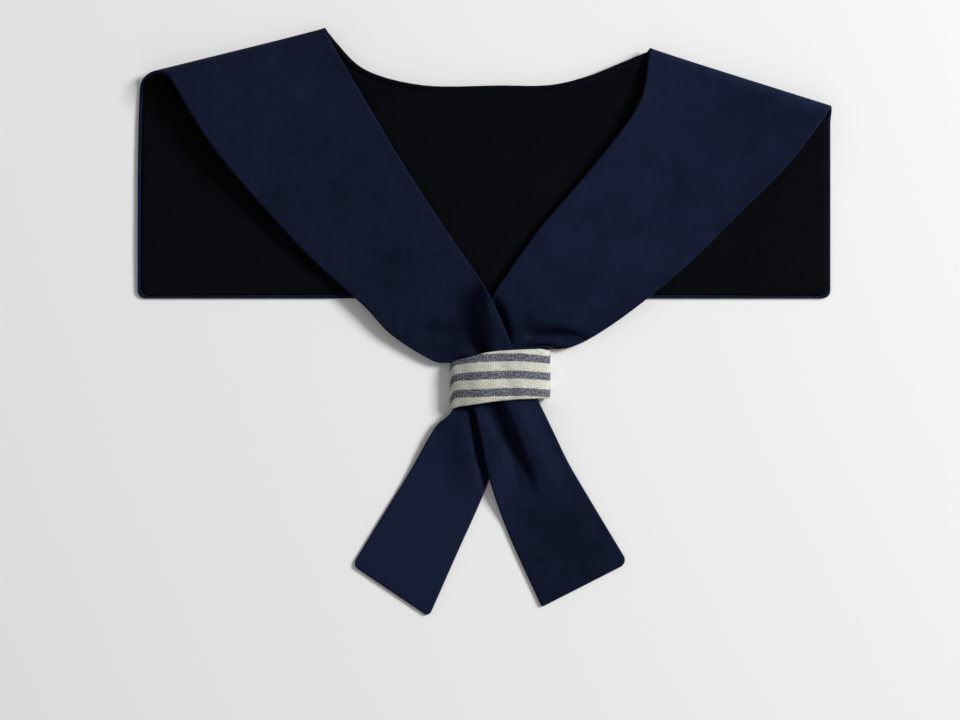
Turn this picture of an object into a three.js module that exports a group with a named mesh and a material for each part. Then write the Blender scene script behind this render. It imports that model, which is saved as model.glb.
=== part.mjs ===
// Child's sailor collar, laid flat with its front up and its back flap folded under it.
// Two cloth layers run in one length from tail to tail, over both shoulders and round the back.
// The neck edge of the flap is bound, and a striped keeper loop closes round the crossed tails.
// Millimetres, +Z up. While the shapes are worked out, x = 0 is the middle of the collar, y = 0 is
// the height of the higher neck point, and z = 0 is the surface that the collar lies on.
import * as THREE from 'three';

// Cloth
const clothWall = 1.0; // each layer of cloth
const layerGap = 0.3; // clearance between any two pieces of cloth
const crossingAir = 0.4; // extra air where one band lies over another

// Back flap and neck
const collarWidth = 263.8; // over the shoulders, from side to side of the back flap
const neckWidth = 123.5; // between the two neck points
const neckShift = 1.35; // the neck's middle, right of the collar's middle
const napeDrop = 21.5; // from the higher neck point down to the back neck edge
const flapDepth = 80.5; // from the back neck edge to the flap's hem
const hemCornerRadius = 3; // the flap's lower corners, seen from above
const neckRise = 3; // how far the neck edge stands up from the flap
const neckRollReach = 24; // width of the stretch that rises to the neck edge

// Shoulder folds
const neckFoldRadius = 2.2; // middle of the cloth, at the neck points
const outerFoldRadius = 5; // middle of the cloth, at the outer ends of the shoulders

// Neck binding
const bindingDepth = 2; // how far it reaches onto the collar

// Keeper loop
const loopWidth = 39.5; // across the tails, outside
const loopHeight = 17.8; // along the tails
const loopWall = 1.0; // cloth of the loop
const loopOffset = 6.1; // its middle, right of the collar's middle
const loopBelowHem = 22.2; // from the flap's hem to the middle of the loop's upper edge
const loopTilt = THREE.MathUtils.degToRad(5.5); // its right end lies higher
const loopBow = 1.5; // its middle lies higher than a straight line between its ends
const loopCrown = 2.2; // height of the arch in its front wall
const loopCornerRadius = 3; // outside, at the floor
const loopShoulderRadius = 4; // outside, at the ends of its front wall
const loopEndClearance = 1.6; // from the gathered cloth to the inside of the loop's ends

// Tails
const tailLength = 77; // from the loop's lower edge to the middle of the cut end
const tailEndWidth = 34.5; // across the cut end
const foldDepth = 1.6; // the pressed fold that the loop gathers into the upper band
const settleLength = 25; // over which the tails come down from the loop to the floor
const crossingReach = 14; // over which the upper band comes down beside the lower one
const crossingMargin = 1.5; // how far beside the lower one it keeps its full height

// Levels of the middle of a two-layer band above the floor
const half = clothWall + layerGap / 2;
const stack = 2 * half + layerGap + crossingAir;
const floorLevel = half;
const loopLevel = loopWall + layerGap + half;
const flapLevel = floorLevel + stack;

// Places that follow from the sizes
const hemY = -napeDrop - flapDepth;
const frontDrop = napeDrop + flapDepth + loopBelowHem;
const loopAcross = new THREE.Vector2(Math.cos(loopTilt), Math.sin(loopTilt));
const loopUp = new THREE.Vector2(-Math.sin(loopTilt), Math.cos(loopTilt));
const loopEnd = new THREE.Vector2(0, 1); // the direction of its ends, which the tilt leaves upright
const loopMiddle = new THREE.Vector2(loopOffset, -frontDrop).addScaledVector(loopEnd, -loopHeight / 2);
const passHalf = loopWidth / 2 - loopWall - loopEndClearance;

// The two shoulders. neckDrop is a share of napeDrop and slope is in degrees. splay, how far the
// outer edge moves outward round the fold, and tuck, how far inside the flap's side it ends there,
// are shares of outerFoldRadius.
const shoulderRows = {
  left: { side: -1, neckDrop: 0, slope: 14.4, splay: 2.64, tuck: 0.16 },
  right: { side: 1, neckDrop: 0.355, slope: 18.1, splay: 0.65, tuck: 0 },
};

// Lapel edges from the shoulder fold to the loop. A drop is the share of the way down, a reach the
// share of the way out from the loop that is left, and lift the share of the fold's height.
const lapelRows = {
  left: [
    { inDrop: 0.0, inReach: 1.0, outDrop: 0.0, outReach: 1.0, lift: 1.0 },
    { inDrop: 0.2, inReach: 0.802, outDrop: 0.229, outReach: 0.861, lift: 0.66 },
    { inDrop: 0.42, inReach: 0.572, outDrop: 0.444, outReach: 0.684, lift: 0.3 },
    { inDrop: 0.635, inReach: 0.333, outDrop: 0.633, outReach: 0.51, lift: 0.1 },
    { inDrop: 0.795, inReach: 0.152, outDrop: 0.801, outReach: 0.326, lift: 0.02 },
    { inDrop: 0.88, inReach: 0.083, outDrop: 0.908, outReach: 0.225, lift: 0.0 },
    { inDrop: 0.95, inReach: 0.031, outDrop: 0.982, outReach: 0.11, lift: 0.0 },
    { inDrop: 1.0, inReach: 0.0, outDrop: 1.0, outReach: 0.0, lift: 0.0 },
  ],
  right: [
    { inDrop: 0.0, inReach: 1.0, outDrop: 0.0, outReach: 1.0, lift: 1.0 },
    { inDrop: 0.17, inReach: 0.936, outDrop: 0.196, outReach: 0.874, lift: 0.66 },
    { inDrop: 0.37, inReach: 0.68, outDrop: 0.405, outReach: 0.7, lift: 0.3 },
    { inDrop: 0.565, inReach: 0.396, outDrop: 0.61, outReach: 0.527, lift: 0.1 },
    { inDrop: 0.73, inReach: 0.184, outDrop: 0.785, outReach: 0.353, lift: 0.02 },
    { inDrop: 0.825, inReach: 0.066, outDrop: 0.917, outReach: 0.198, lift: 0.0 },
    { inDrop: 0.92, inReach: 0.02, outDrop: 0.98, outReach: 0.09, lift: 0.0 },
    { inDrop: 1.0, inReach: 0.0, outDrop: 1.0, outReach: 0.0, lift: 0.0 },
  ],
};

// Where each band passes under the loop's edges, in shares of half the clear width, right positive.
const passRows = {
  left: { topIn: 0.3, topOut: -1, bottomIn: 0.834, bottomOut: -0.63 },
  right: { topIn: -0.5, topOut: 1, bottomIn: -1, bottomOut: 0.52 },
};

// The tail that each lapel ends in. The lean and the turn of each section are in degrees, length is
// a share of tailLength, along and bow are shares of that length, and width is a share of
// tailEndWidth.
const tailRows = {
  left: {
    lean: 23.6,
    length: 0.992,
    sections: [
      { along: 0.168, bow: -0.009, width: 0.81, turn: 3 },
      { along: 0.361, bow: -0.027, width: 0.894, turn: 10 },
      { along: 0.613, bow: -0.026, width: 0.98, turn: 20 },
      { along: 1.0, bow: 0.0, width: 1.071, turn: 27 },
    ],
  },
  right: {
    lean: -27.5,
    length: 1.047,
    sections: [
      { along: 0.152, bow: -0.025, width: 0.777, turn: -3 },
      { along: 0.403, bow: -0.004, width: 0.868, turn: -10 },
      { along: 0.7, bow: -0.001, width: 0.923, turn: -28 },
      { along: 1.0, bow: 0.0, width: 1.0, turn: -34 },
    ],
  },
};

// The back neck edge between the shoulder folds. across is a share of half of neckWidth, and drop is
// a share of napeDrop.
const backNeckRows = [
  { across: -0.94, drop: 0.25 },
  { across: -0.78, drop: 0.7 },
  { across: -0.43, drop: 1.0 },
  { across: 0.1, drop: 1.02 },
  { across: 0.4, drop: 1.0 },
  { across: 0.62, drop: 0.85 },
  { across: 0.86, drop: 0.57 },
];

// The pressed fold along the upper band: station counts from the shoulder in rows of lapelRows and
// then on through the loop and the tail, valley is its share of the width from the neck edge, and
// amount is a share of foldDepth.
const pressedFoldRows = [
  { station: 3, valley: 0.22, amount: 0.0 },
  { station: 4.5, valley: 0.27, amount: 0.6 },
  { station: 7, valley: 0.36, amount: 1.0 },
  { station: 8, valley: 0.58, amount: 1.0 },
  { station: 9.5, valley: 0.55, amount: 0.6 },
  { station: 11, valley: 0.52, amount: 0.0 },
];
const valleyHalfWidth = 0.13; // share of the band's width

// Shares of the way from the hem to the loop between which a band comes down, and the share of the
// loop's clear width over which its front wall is clear of the upper band's full height
const slopeStart = 0.08;
const slopeEnd = 0.92;
const crownWidest = 0.7;

// Mesh steps
const stepsPerRow = 2;
const loopSteps = 3;
const foldSteps = 8;
const flapSideSteps = 6;
const flapCornerSteps = 2;
const flapHemSteps = 14;
const firstStep = 6; // from the neck edge to the second line of points, on wide stretches
const acrossShares = [0.13, 0.25, 0.37, 0.5, 0.63, 0.75, 0.87, 1];

const smooth = (share) => {
  const t = THREE.MathUtils.clamp(share, 0, 1);
  return t * t * (3 - 2 * t);
};

const vec = (x, y) => new THREE.Vector2(x, y);

// A smooth value through the rows of a list, at a place counted in rows.
function through(values, place) {
  const last = values.length - 1;
  const row = Math.min(Math.floor(place), last - 1);
  const t = place - row;
  const p1 = values[row];
  const p2 = values[row + 1];
  const p0 = row > 0 ? values[row - 1] : 2 * p1 - p2;
  const p3 = row + 2 <= last ? values[row + 2] : 2 * p2 - p1;
  const bend = 2 * p0 - 5 * p1 + 4 * p2 - p3 + (3 * (p1 - p2) + p3 - p0) * t;
  return p1 + 0.5 * t * (p2 - p0 + t * bend);
}

function shoulder(name) {
  const { side, neckDrop, slope, splay, tuck } = shoulderRows[name];
  const angle = THREE.MathUtils.degToRad(slope);
  const along = vec(side * Math.cos(angle), -Math.sin(angle));
  const away = vec(side * Math.sin(angle), Math.cos(angle));
  const neck = vec(neckShift + (side * neckWidth) / 2, -neckDrop * napeDrop);
  const outerX = side * (collarWidth / 2 - tuck * outerFoldRadius);
  const outerY = neck.y - Math.tan(angle) * Math.abs(outerX - neck.x);
  const inner = neck.clone().addScaledVector(away, -neckFoldRadius);
  const outerUnder = vec(outerX, outerY - outerFoldRadius * away.y);
  const outerOver = outerUnder.clone().addScaledVector(along, -splay * outerFoldRadius);
  return { away, inner, outerUnder, outerOver };
}

const shoulders = { left: shoulder('left'), right: shoulder('right') };

// A point on the loop's upper (edge = 1) or lower (edge = -1) edge, at a share of its clear width.
function loopPoint(share, edge) {
  const bow = loopBow * (1 - share * share);
  return loopMiddle
    .clone()
    .addScaledVector(loopAcross, share * passHalf)
    .addScaledVector(loopEnd, (edge * loopHeight) / 2 + bow);
}

// The control sections of one band, from the shoulder fold to the end of its tail.
function bandSections(name) {
  const { inner, outerOver } = shoulders[name];
  const pass = passRows[name];
  const topIn = loopPoint(pass.topIn, 1);
  const topOut = loopPoint(pass.topOut, 1);
  const place = (from, to, drop, reach) =>
    vec(to.x + reach * (from.x - to.x), from.y + drop * (to.y - from.y));
  const sections = lapelRows[name].map((row) => ({
    in: place(inner, topIn, row.inDrop, row.inReach),
    out: place(outerOver, topOut, row.outDrop, row.outReach),
    lift: row.lift,
  }));
  const bottomIn = loopPoint(pass.bottomIn, -1);
  const bottomOut = loopPoint(pass.bottomOut, -1);
  sections.push({ in: bottomIn, out: bottomOut, lift: 0 });
  const root = bottomIn.clone().add(bottomOut).multiplyScalar(0.5);
  const lean = THREE.MathUtils.degToRad(tailRows[name].lean);
  const length = tailRows[name].length * tailLength;
  const down = vec(Math.sin(lean), -Math.cos(lean));
  const right = vec(Math.cos(lean), Math.sin(lean));
  const neckSide = name === 'left' ? 1 : -1;
  for (const row of tailRows[name].sections) {
    const middle = root
      .clone()
      .addScaledVector(down, row.along * length)
      .addScaledVector(right, row.bow * length);
    const turn = THREE.MathUtils.degToRad(row.turn);
    const reach = (neckSide * row.width * tailEndWidth) / 2;
    const across = vec(Math.cos(turn) * reach, Math.sin(turn) * reach);
    sections.push({ in: middle.clone().add(across), out: middle.clone().sub(across), lift: 0 });
  }
  return sections;
}

// The sections that the mesh uses, with a place counted in rows of the control sections.
function bandRungs(name) {
  const sections = bandSections(name);
  const topRow = lapelRows[name].length - 1;
  const columns = {
    inX: sections.map((s) => s.in.x),
    inY: sections.map((s) => s.in.y),
    outX: sections.map((s) => s.out.x),
    outY: sections.map((s) => s.out.y),
    lift: sections.map((s) => s.lift),
  };
  const rungs = [];
  for (let row = 0; row < sections.length - 1; row += 1) {
    const steps = row === topRow ? loopSteps : stepsPerRow;
    const lastRow = row === sections.length - 2;
    for (let step = 0; step < steps + (lastRow ? 1 : 0); step += 1) {
      const place = row + step / steps;
      const at = (key) => through(columns[key], place);
      rungs.push({ in: vec(at('inX'), at('inY')), out: vec(at('outX'), at('outY')), lift: at('lift'), place });
    }
  }
  return rungs;
}

// Shares across a section: the first line of points keeps its distance from the neck edge.
function sharesAcross(length) {
  return [0, Math.min(firstStep / length, acrossShares[0] / 2), ...acrossShares];
}

// Height of the flap's middle at a distance from its neck edge.
const flapHeight = (distance) =>
  floorLevel + neckRise * Math.max(0, 1 - distance / neckRollReach) ** 2;

// Height of the middle of a band that lies on whatever is below it.
function groundHeight(point) {
  const fromLoop = point.clone().sub(loopMiddle);
  const up = fromLoop.dot(loopUp) - loopBow;
  if (up > loopHeight / 2) {
    const upperEdge = point.y - (up - loopHeight / 2) / loopUp.y;
    const share = (hemY - point.y) / (hemY - upperEdge);
    const gone = smooth((share - slopeStart) / (slopeEnd - slopeStart));
    return THREE.MathUtils.lerp(flapLevel, loopLevel, gone);
  }
  const below = -up - loopHeight / 2;
  return THREE.MathUtils.lerp(loopLevel, floorLevel, smooth(below / settleLength));
}

// Distance from a point to an outline, 0 inside it.
function distanceToOutline(point, outline) {
  let inside = false;
  let best = Infinity;
  outline.forEach((a, i) => {
    const b = outline[(i + 1) % outline.length];
    const side = b.clone().sub(a);
    const share = THREE.MathUtils.clamp(point.clone().sub(a).dot(side) / side.lengthSq(), 0, 1);
    best = Math.min(best, point.distanceTo(a.clone().addScaledVector(side, share)));
    if (a.y > point.y !== b.y > point.y) {
      const crossing = a.x + ((point.y - a.y) / (b.y - a.y)) * (b.x - a.x);
      if (point.x < crossing) inside = !inside;
    }
  });
  return inside ? 0 : best;
}

// Raising of the upper band by the pressed fold: a ridge along the neck edge, then the valley, then
// a ridge that runs out towards the outer edge.
function pressedFold(place, share) {
  const rows = pressedFoldRows;
  if (place <= rows[0].station || place >= rows[rows.length - 1].station) return 0;
  const next = rows.findIndex((row) => row.station > place);
  const [a, b] = [rows[next - 1], rows[next]];
  const t = (place - a.station) / (b.station - a.station);
  const valley = THREE.MathUtils.lerp(a.valley, b.valley, t);
  const amount = THREE.MathUtils.lerp(a.amount, b.amount, smooth(t));
  const off = (share - valley) / valleyHalfWidth;
  return foldDepth * amount * (1 - Math.exp(-off * off)) * (1 - share ** 3);
}

// A section's points, from the neck edge to the outer edge.
function sectionPoints(rung, heightAt) {
  const length = rung.in.distanceTo(rung.out);
  return sharesAcross(length).map((share) => {
    const point = rung.in.clone().lerp(rung.out, share);
    return new THREE.Vector3(point.x, point.y, heightAt(point, share, share * length));
  });
}

const foldRadius = (share) => THREE.MathUtils.lerp(neckFoldRadius, outerFoldRadius, share);

function bandPoints(rungs, lowerOutline) {
  return rungs.map((rung) =>
    sectionPoints(rung, (point, share, distance) => {
      const foldTop = flapHeight(distance) + 2 * foldRadius(share);
      let height = groundHeight(point) + rung.lift * (foldTop - flapLevel);
      if (lowerOutline) {
        const away = distanceToOutline(point, lowerOutline);
        height += stack * (1 - smooth((away - crossingMargin) / crossingReach));
        height += pressedFold(rung.place, share);
      }
      return height;
    }),
  );
}

// The half turn over a shoulder. Its first section joins the lapel, and its last the flap.
function foldPoints(name) {
  const { away, inner, outerUnder, outerOver } = shoulders[name];
  const rows = [];
  for (let step = 1; step < foldSteps; step += 1) {
    const turn = (Math.PI * step) / foldSteps;
    const rung = {
      in: inner.clone().addScaledVector(away, neckFoldRadius * Math.sin(turn)),
      out: outerOver
        .clone()
        .lerp(outerUnder, step / foldSteps)
        .addScaledVector(away, outerFoldRadius * Math.sin(turn)),
    };
    const height = (point, share, distance) =>
      flapHeight(distance) + foldRadius(share) * (1 + Math.cos(turn));
    rows.push(sectionPoints(rung, height));
  }
  return rows;
}

// The flap's neck edge and its outer edge, matched section by section from left to right.
function flapRungs() {
  const toPoint = (p) => new THREE.Vector3(p.x, p.y, 0);
  const rowPoint = (row) =>
    new THREE.Vector3(neckShift + (row.across * neckWidth) / 2, -row.drop * napeDrop, 0);
  const neckCurve = new THREE.CatmullRomCurve3(
    [toPoint(shoulders.left.inner), ...backNeckRows.map(rowPoint), toPoint(shoulders.right.inner)],
    false,
    'centripetal',
  );
  const sideStretch = 0.22; // share of the neck edge that faces each side of the flap
  const cornerStretch = 0.04;
  const corner = (side) => vec((side * collarWidth) / 2 - side * hemCornerRadius, hemY + hemCornerRadius);
  const rungs = [];
  const add = (neckShare, outer) => {
    const neck = neckCurve.getPointAt(neckShare);
    rungs.push({ in: vec(neck.x, neck.y), out: outer });
  };
  const sideRungs = (side) => {
    const { outerUnder } = side < 0 ? shoulders.left : shoulders.right;
    const cornerTop = corner(side).add(vec(side * hemCornerRadius, 0));
    const made = [];
    for (let step = 0; step <= flapSideSteps; step += 1) {
      const share = step / flapSideSteps;
      made.push({ share: sideStretch * share, out: outerUnder.clone().lerp(cornerTop, share) });
    }
    for (let step = 1; step <= flapCornerSteps; step += 1) {
      const turn = ((Math.PI / 2) * step) / flapCornerSteps;
      const off = vec(side * Math.cos(turn), -Math.sin(turn)).multiplyScalar(hemCornerRadius);
      const share = sideStretch + (cornerStretch * step) / flapCornerSteps;
      made.push({ share, out: corner(side).add(off) });
    }
    return made;
  };
  for (const { share, out } of sideRungs(-1)) add(share, out);
  const hemStretch = 1 - 2 * (sideStretch + cornerStretch);
  const [from, to] = [corner(-1), corner(1)];
  for (let step = 1; step < flapHemSteps; step += 1) {
    const share = step / flapHemSteps;
    const neckShare = sideStretch + cornerStretch + hemStretch * share;
    add(neckShare, vec(THREE.MathUtils.lerp(from.x, to.x, share), hemY));
  }
  for (const { share, out } of sideRungs(1).reverse()) add(1 - share, out);
  return rungs;
}

// The normals of a grid of points, one for each point.
function gridNormals(grid) {
  const normals = grid.map((row) => row.map(() => new THREE.Vector3()));
  for (let r = 0; r < grid.length - 1; r += 1) {
    for (let c = 0; c < grid[0].length - 1; c += 1) {
      const [a, b] = [grid[r][c], grid[r + 1][c]];
      const [d, e] = [grid[r][c + 1], grid[r + 1][c + 1]];
      const face = e.clone().sub(a).cross(d.clone().sub(b));
      normals[r][c].add(face);
      normals[r + 1][c].add(face);
      normals[r][c + 1].add(face);
      normals[r + 1][c + 1].add(face);
    }
  }
  for (const row of normals) for (const normal of row) normal.normalize();
  return normals;
}

const offsetGrid = (grid, normals, distance) =>
  grid.map((row, r) => row.map((p, c) => p.clone().addScaledVector(normals[r][c], distance)));

// A closed solid between two grids. A closed grid joins its last row to its first.
function solidBetween(top, bottom, closed = false) {
  const rows = top.length;
  const columns = top[0].length;
  const points = [...top.flat(), ...bottom.flat()];
  const at = (side, r, c) => side * rows * columns + (r % rows) * columns + c;
  const index = [];
  const quad = (a, b, c, d) => index.push(a, b, c, a, c, d);
  const bands = closed ? rows : rows - 1;
  for (let r = 0; r < bands; r += 1) {
    for (let c = 0; c < columns - 1; c += 1) {
      quad(at(0, r, c), at(0, r + 1, c), at(0, r + 1, c + 1), at(0, r, c + 1));
      quad(at(1, r, c), at(1, r, c + 1), at(1, r + 1, c + 1), at(1, r + 1, c));
    }
    const last = columns - 1;
    quad(at(0, r, 0), at(1, r, 0), at(1, r + 1, 0), at(0, r + 1, 0));
    quad(at(0, r, last), at(0, r + 1, last), at(1, r + 1, last), at(1, r, last));
  }
  for (let c = 0; c < columns - 1 && !closed; c += 1) {
    const end = rows - 1;
    quad(at(0, 0, c), at(0, 0, c + 1), at(1, 0, c + 1), at(1, 0, c));
    quad(at(0, end, c), at(1, end, c), at(1, end, c + 1), at(0, end, c + 1));
  }
  return facingOut(points, index);
}

function facingOut(points, index) {
  let volume = 0;
  for (let i = 0; i < index.length; i += 3) {
    const [a, b, c] = [points[index[i]], points[index[i + 1]], points[index[i + 2]]];
    volume += a.dot(b.clone().cross(c));
  }
  if (volume < 0) index.reverse();
  const geometry = new THREE.BufferGeometry();
  geometry.setAttribute('position', new THREE.Float32BufferAttribute(points.flatMap((p) => p.toArray()), 3));
  geometry.setIndex(index);
  geometry.computeVertexNormals();
  return geometry;
}

// The middle surface of the collar, from the left band's tail round the neck to the right band's.
function collarMiddle() {
  const upper = bandRungs('left');
  const lower = bandRungs('right');
  const outline = [...lower.map((r) => r.in), ...lower.map((r) => r.out).reverse()];
  const left = bandPoints(upper, outline).reverse();
  const right = bandPoints(lower, null);
  const flap = flapRungs().map((rung) =>
    sectionPoints(rung, (point, share, distance) => flapHeight(distance)),
  );
  const leftFold = foldPoints('left');
  const rightFold = foldPoints('right').reverse();
  const grid = [...left, ...leftFold, ...flap, ...rightFold, ...right];
  const flapStart = left.length + leftFold.length;
  return { grid, flapStart, flapEnd: flapStart + flap.length - 1 };
}

// The binding folds over the flap's neck edge, along the first line of faces.
function neckBinding(grid, normals, first, last) {
  const inside = half + layerGap;
  const outside = inside + clothWall;
  const shape = [
    [bindingDepth, outside],
    [0, outside],
    [-layerGap - clothWall, outside / 2],
    [-layerGap - clothWall, -outside / 2],
    [0, -outside],
    [bindingDepth, -outside],
    [bindingDepth, -inside],
    [-layerGap, -inside],
    [-layerGap, inside],
    [bindingDepth, inside],
  ];
  const count = shape.length;
  const points = [];
  for (let r = first; r <= last; r += 1) {
    const edge = grid[r][0];
    const inward = grid[r][1].clone().sub(edge).normalize();
    const normal = normals[r][0];
    for (const [depth, off] of shape) {
      points.push(edge.clone().addScaledVector(inward, depth).addScaledVector(normal, off));
    }
  }
  const index = [];
  for (let r = 0; r < last - first; r += 1) {
    for (let i = 0; i < count; i += 1) {
      const next = (i + 1) % count;
      const [a, b] = [r * count + i, r * count + next];
      index.push(a, b, b + count, a, b + count, a + count);
    }
  }
  const end = (last - first) * count;
  const flat = THREE.ShapeUtils.triangulateShape(shape.map(([x, y]) => vec(x, y)), []);
  for (const [a, b, c] of flat) {
    index.push(a, c, b, end + a, end + b, end + c);
  }
  return facingOut(points, index);
}

// The loop's section, round the tails: x is the place across them and y the height. An inset of
// the wall gives the inside.
function loopSection(inset) {
  const clearTop = loopLevel + stack + foldDepth + half + layerGap + loopWall;
  const halfWidth = loopWidth / 2 - inset;
  const radius = loopCornerRadius - inset;
  const shoulderRadius = loopShoulderRadius - inset;
  const top = (x) => clearTop - inset + loopCrown * (crownWidest ** 2 - (x / passHalf) ** 2);
  const points = [];
  const arc = (cx, cy, r, from, steps) => {
    for (let step = 0; step <= steps; step += 1) {
      const turn = from + ((Math.PI / 2) * step) / steps;
      points.push(vec(cx + r * Math.cos(turn), cy + r * Math.sin(turn)));
    }
  };
  const arcSteps = 3;
  const topSteps = 8;
  const topEnd = halfWidth - shoulderRadius;
  arc(-halfWidth + radius, inset + radius, radius, Math.PI, arcSteps);
  points.push(vec(0, inset));
  arc(halfWidth - radius, inset + radius, radius, -Math.PI / 2, arcSteps);
  arc(topEnd, top(topEnd) - shoulderRadius, shoulderRadius, 0, arcSteps);
  for (let step = 1; step < topSteps; step += 1) {
    const x = topEnd * (1 - (2 * step) / topSteps);
    points.push(vec(x, top(x)));
  }
  arc(-topEnd, top(topEnd) - shoulderRadius, shoulderRadius, Math.PI / 2, arcSteps);
  return points;
}

function keeperLoop() {
  const stations = [-1, -0.5, 0, 0.5, 1];
  const surface = (inset) =>
    loopSection(inset).map((p) => {
      const bow = loopBow * (1 - (p.x / (loopWidth / 2)) ** 2);
      return stations.map((station) => {
        const spot = loopMiddle
          .clone()
          .addScaledVector(loopAcross, p.x)
          .addScaledVector(loopEnd, (station * loopHeight) / 2 + bow);
        return new THREE.Vector3(spot.x, spot.y, p.y);
      });
    });
  return solidBetween(surface(0), surface(loopWall), true);
}

const cloth = (color, roughness) => new THREE.MeshStandardMaterial({ color, roughness, metalness: 0 });

function piece(name, geometry, material) {
  const mesh = new THREE.Mesh(geometry, material);
  mesh.name = name;
  return mesh;
}

function sailorCollar() {
  const { grid, flapStart, flapEnd } = collarMiddle();
  const normals = gridNormals(grid);
  const faceUp = Math.sign(normals[0][1].z); // the outer cloth is on top at the tails
  const layer = (from, to) =>
    solidBetween(offsetGrid(grid, normals, faceUp * from), offsetGrid(grid, normals, faceUp * to));
  const group = new THREE.Group();
  group.add(
    piece('upper_collar', layer(layerGap / 2, half), cloth('#12182c', 0.82)),
    piece('under_collar', layer(-half, -layerGap / 2), cloth('#0b0d14', 0.88)),
    piece('neck_binding', neckBinding(grid, normals, flapStart, flapEnd), cloth('#10162a', 0.82)),
    piece('keeper_loop', keeperLoop(), cloth('#a3a39f', 0.9)),
  );
  // The origin is at the middle of the collar's outline, on the surface that it lies on.
  const box = new THREE.Box3().setFromObject(group);
  const middle = box.getCenter(new THREE.Vector3());
  group.position.set(-middle.x, -middle.y, -box.min.z);
  return group;
}

export default sailorCollar();
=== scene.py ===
# Child's navy sailor collar with a striped keeper loop, laid flat on a pale floor.
# Lengths are millimetres until a mesh is made. In the working plane x = 0 is the collar's middle
# and y = 0 the height of the higher neck point, and z = 0 is the floor.
import math

import bpy
import numpy as np
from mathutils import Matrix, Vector
from mathutils.bvhtree import BVHTree


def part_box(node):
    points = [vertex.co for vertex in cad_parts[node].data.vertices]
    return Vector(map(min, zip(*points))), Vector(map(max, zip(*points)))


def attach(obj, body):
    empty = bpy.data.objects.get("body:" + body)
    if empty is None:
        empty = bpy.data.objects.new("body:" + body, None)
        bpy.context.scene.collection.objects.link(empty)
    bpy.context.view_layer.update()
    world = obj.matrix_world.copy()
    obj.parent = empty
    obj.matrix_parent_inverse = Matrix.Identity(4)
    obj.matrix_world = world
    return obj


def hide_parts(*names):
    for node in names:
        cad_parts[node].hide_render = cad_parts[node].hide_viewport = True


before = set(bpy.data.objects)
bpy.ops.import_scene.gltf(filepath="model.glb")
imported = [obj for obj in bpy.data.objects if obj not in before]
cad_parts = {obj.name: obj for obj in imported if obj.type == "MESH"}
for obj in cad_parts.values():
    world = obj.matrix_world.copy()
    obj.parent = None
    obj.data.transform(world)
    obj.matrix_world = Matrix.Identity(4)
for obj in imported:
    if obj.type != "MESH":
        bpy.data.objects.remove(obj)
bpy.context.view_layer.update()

MM = 0.001

# Collar, from the sizes of the solids
COLLAR_WIDTH = 263.8
NECK_WIDTH = 123.5
NECK_SHIFT = 1.35
NAPE_DROP = 21.5
FLAP_DEPTH = 80.5
HEM_CORNER_RADIUS = 3.0
NECK_FOLD_RADIUS = 1.1
OUTER_FOLD_RADIUS = 5.0
NECK_ROLL_REACH = 24.0
NECK_RISE = 3.0
LOOP_WIDTH = 38.3
LOOP_HEIGHT = 18.0
LOOP_OFFSET = 6.1
LOOP_BELOW_HEM = 22.2
CAD_LOOP_WIDTH = 39.5  # of the loop's solid, which is a little wider than the cloth here
CAD_LOOP_HEIGHT = 17.8
LOOP_TILT = math.radians(5.5)
LOOP_BOW = 1.7
TAIL_LENGTH = 77.0
TAIL_END_WIDTH = 34.5
SETTLE_LENGTH = 30.0

# Finished cloth
HALF = 0.65  # half of the two layers together
EDGE_ROUND = 0.7  # how far in from an edge the cloth reaches its full thickness
LIP = 1.7  # the outer cloth is turned this far round to the underside
LAYER_SLIT = 0.03
LOOP_CLOTH = 1.0

# Levels of the middle of the cloth
FLOOR_LEVEL = HALF
LOOP_LEVEL = LOOP_CLOTH + 0.25 + HALF
FLAP_LEVEL = 4.0
CROSSING_STACK = 2.4
CROSSING_LEAST = 1.4  # least height between the middles of the two bands where they cross
LEAST_LEVEL = FLOOR_LEVEL + 0.02
GROUND_SLACK = 0.1  # how far a pressed band may go below the level of a resting one
BAND_PUFF = 0.6  # how far the gathered upper band stands over what is below it

HEM_Y = -NAPE_DROP - FLAP_DEPTH
FRONT_DROP = NAPE_DROP + FLAP_DEPTH + LOOP_BELOW_HEM
PASS_HALF = 17.15  # half the clear width of the loop, in which the bands pass

# Gentle waves of the cloth: height, distance between them, and seed
BAND_WAVES = {"left": (0.4, 62, 3), "right": (0.4, 62, 8)}
FLAP_WAVES = (0.12, 48, 21)
WAVES_ADDED = 7  # crossing waves that are added up
WAVE_STRETCH = (0.7, 1.6)
WAVES_TOTAL = 3.2  # what their sum seldom passes

# Ramps, each by its start and its reach, which is negative where it counts backwards
HANG = (0.05, 0.9)  # a band comes down between the hem and the loop, as a share of the way
WAVES_FROM, WAVES_TO = (0, 1.2), (7, -1.5)  # by rows along a band
PUFF_FROM, PUFF_TO = (3.2, 2.6), (11.2, -2.4)
PUFF_TAPER_ACROSS, PUFF_TAPER_ROWS = (0.45, 0.5), (7.6, -0.8)
PRESSED_FROM = (6, 1.5)
STACK_EDGE = (0.8, 13)  # by millimetres outside the outline of the lower band
COVERED = (1, -1)
FLAP_CALM_HEM, FLAP_CALM_NECK = (HEM_Y, 6), (10, 20)
PUCKER_FREE = (1.0, 1.5)  # by height over the floor
LOOP_FRONT_FROM = (3, 3)

# ease: how much slower the fold's outer end runs outwards at its start and end
SHOULDERS = {
    "left": {"side": -1, "neck_drop": 0.0, "slope": 14.4, "splay": 2.64, "tuck": 0.16, "ease": 0.58},
    "right": {"side": 1, "neck_drop": 0.355, "slope": 18.1, "splay": 0.65, "tuck": 0.0, "ease": 0.0},
}

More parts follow.
